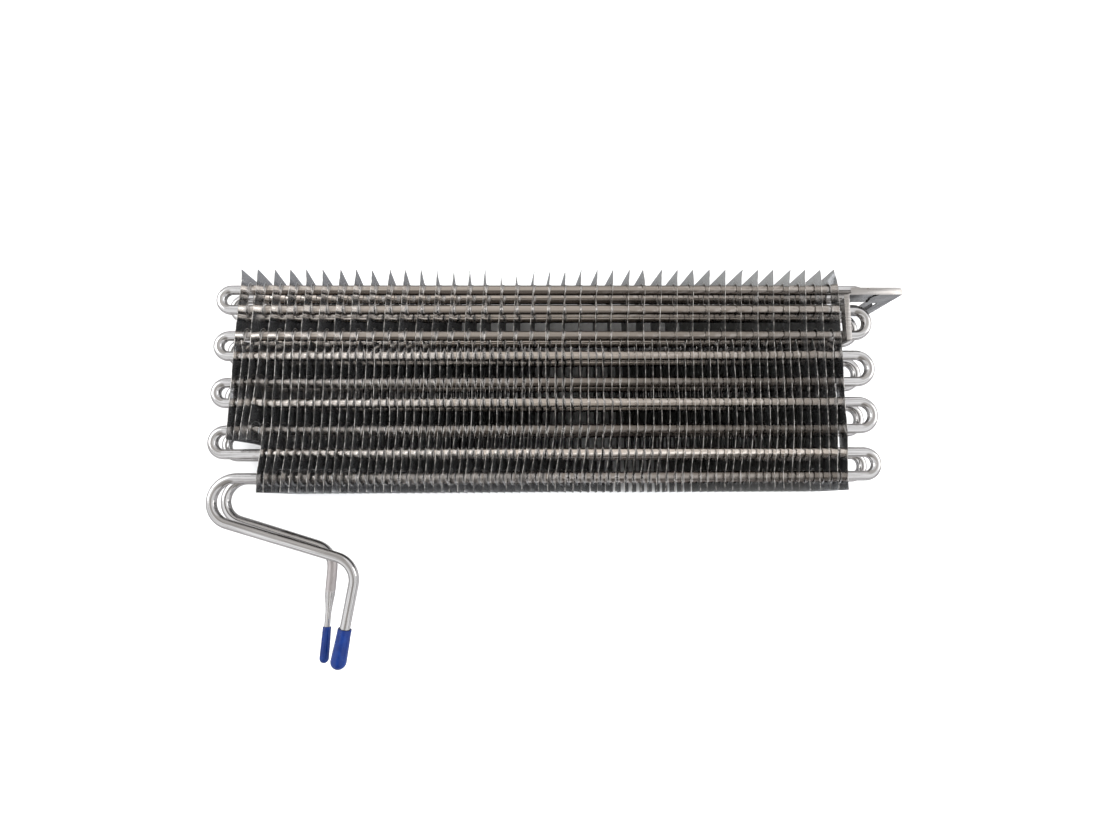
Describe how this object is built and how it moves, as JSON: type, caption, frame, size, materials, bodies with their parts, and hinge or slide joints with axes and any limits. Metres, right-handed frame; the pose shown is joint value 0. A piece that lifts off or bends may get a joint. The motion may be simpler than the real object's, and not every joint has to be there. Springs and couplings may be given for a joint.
{
  "type": "refrigerator evaporator coil",
  "caption": "Bare aluminium fin-and-tube evaporator: a serpentine tube through a block of thin flat fins, with capped connection pipes and a folded end bracket.",
  "frame": {"origin": "middle of the whole coil's box, on the plane of the rear fin edges that it lies on", "axes": "+X along the tube passes towards the end bracket, +Y towards the tall fins' free ends, +Z from the rear fin edges to the front ones"},
  "size_m": [0.5492, 0.3102, 0.06],
  "materials": {
    "tube": "mill finish drawn tube",
    "fin": "bright rolled foil",
    "bracket": "mill finish sheet",
    "cap": "dipped vinyl"
  },
  "bodies": {
    "root": {"serpentine_tube": "tube", "end_bracket": "bracket", "big_cap": "cap", "small_cap": "cap", "tall_fin_01": "fin", "tall_fin_02": "fin", "tall_fin_03": "fin", "tall_fin_04": "fin", "tall_fin_05": "fin", "tall_fin_06": "fin", "tall_fin_07": "fin", "tall_fin_08": "fin", "tall_fin_09": "fin", "tall_fin_10": "fin", "tall_fin_11": "fin", "tall_fin_12": "fin", "tall_fin_13": "fin", "tall_fin_14": "fin", "tall_fin_15": "fin", "tall_fin_16": "fin", "tall_fin_17": "fin", "tall_fin_18": "fin", "tall_fin_19": "fin", "tall_fin_20": "fin", "tall_fin_21": "fin", "tall_fin_22": "fin", "tall_fin_23": "fin", "tall_fin_24": "fin", "tall_fin_25": "fin", "tall_fin_26": "fin", "tall_fin_27": "fin", "tall_fin_28": "fin", "tall_fin_29": "fin", "tall_fin_30": "fin", "tall_fin_31": "fin", "tall_fin_32": "fin", "tall_fin_33": "fin", "tall_fin_34": "fin", "tall_fin_35": "fin", "tall_fin_36": "fin", "tall_fin_37": "fin", "tall_fin_38": "fin", "short_fins_01": "fin", "short_fins_02": "fin", "short_fins_03": "fin", "short_fins_04": "fin", "short_fins_05": "fin", "short_fins_06": "fin", "short_fins_07": "fin", "short_fins_08": "fin", "short_fins_09": "fin", "short_fins_10": "fin", "short_fins_11": "fin", "short_fins_12": "fin", "short_fins_13": "fin"}
  },
  "joints": []
}
